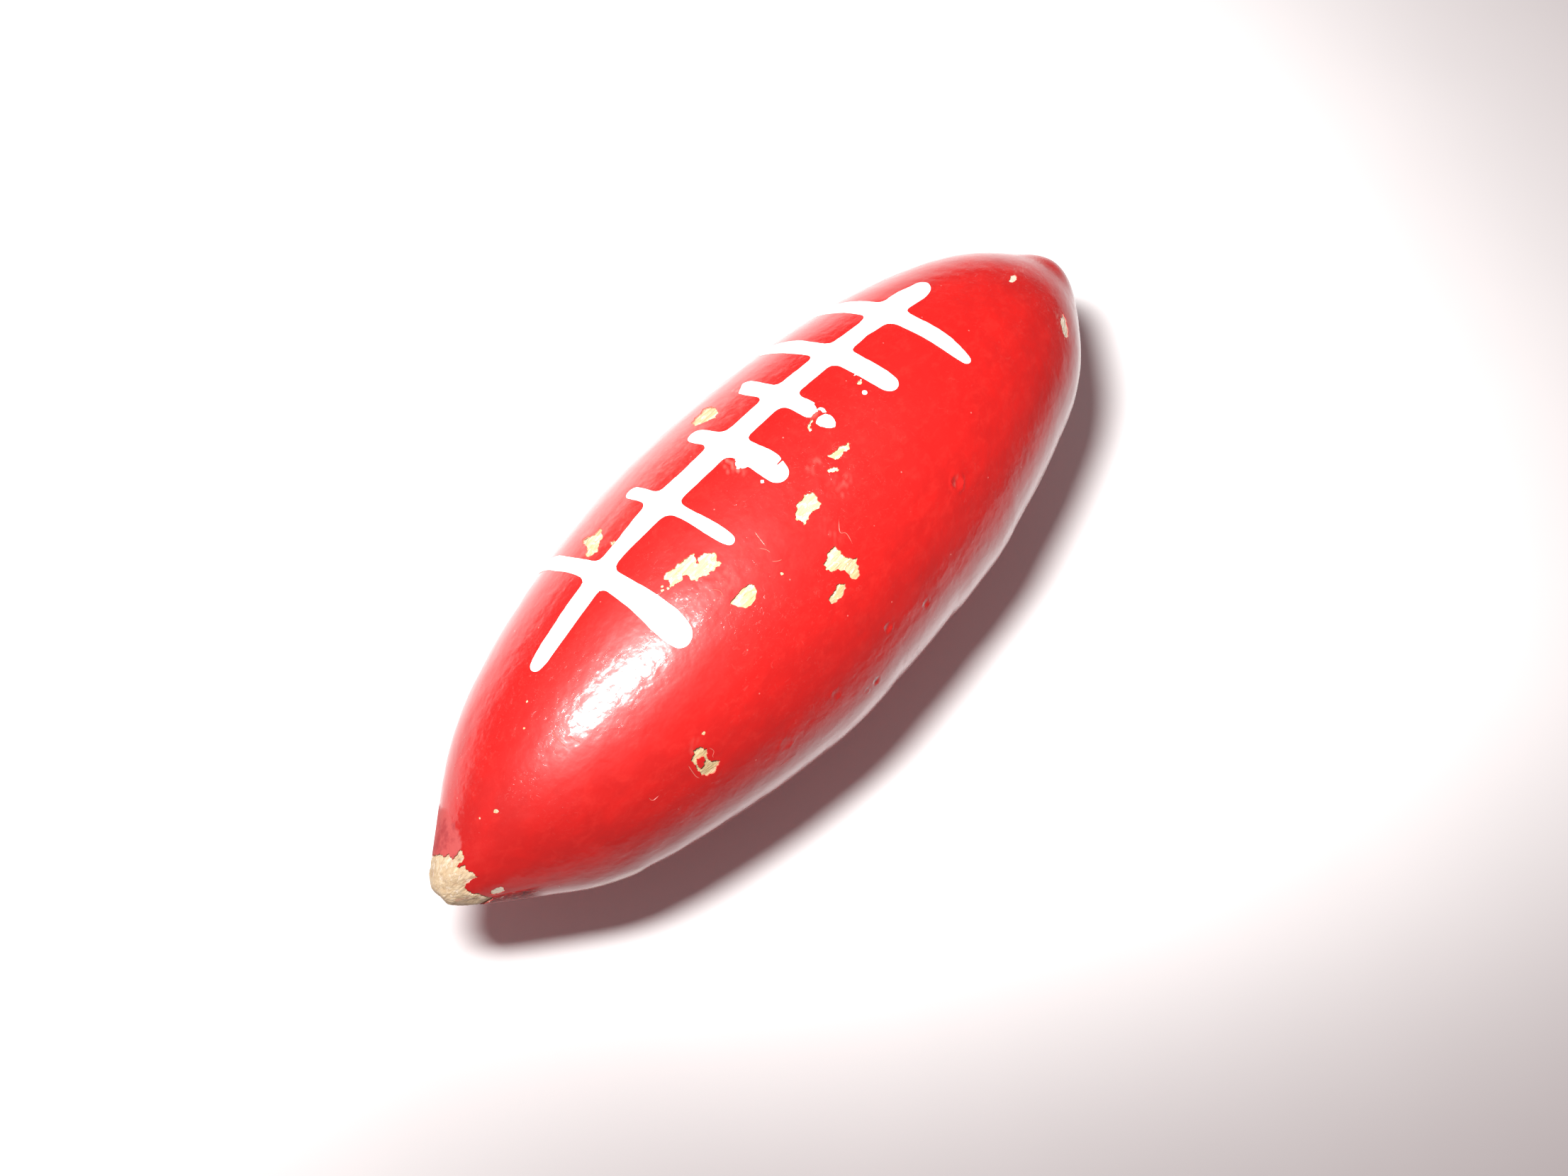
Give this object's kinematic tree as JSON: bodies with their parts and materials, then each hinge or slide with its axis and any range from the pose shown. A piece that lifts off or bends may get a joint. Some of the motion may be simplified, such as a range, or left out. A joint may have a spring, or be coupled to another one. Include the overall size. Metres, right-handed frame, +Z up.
{
  "type": "miniature painted wooden football",
  "caption": "Small spindle-shaped wooden toy football with glossy red enamel, hand-painted white lacing, and chips that show bare wood at the nose and on the belly.",
  "frame": {"origin": "centre of the ball's footprint on the resting plane", "axes": "+X along the ball from its worn nose to its far tip, +Z up from the resting flat, lacing on the upper left (+Y, +Z) side"},
  "size_m": [0.081, 0.0294, 0.0283],
  "materials": {
    "red_enamel": "glossy brushed enamel with orange-peel texture, chipped and lightly scratched",
    "white_paint": "glossy thick hand-painted white",
    "bare_wood": "dry bare light wood, worn and slightly fibrous"
  },
  "bodies": {
    "root": {"wood_core": "bare_wood", "red_enamel_coat": "red_enamel", "red_enamel_island": "red_enamel", "lace_seam_stroke": "white_paint", "lace_bar_1": "white_paint", "lace_bar_2": "white_paint", "lace_bar_3": "white_paint", "lace_bar_4": "white_paint", "lace_bar_5": "white_paint", "lace_bar_6": "white_paint", "lace_bar_3_tip": "white_paint", "white_paint_drop": "white_paint"}
  },
  "joints": []
}
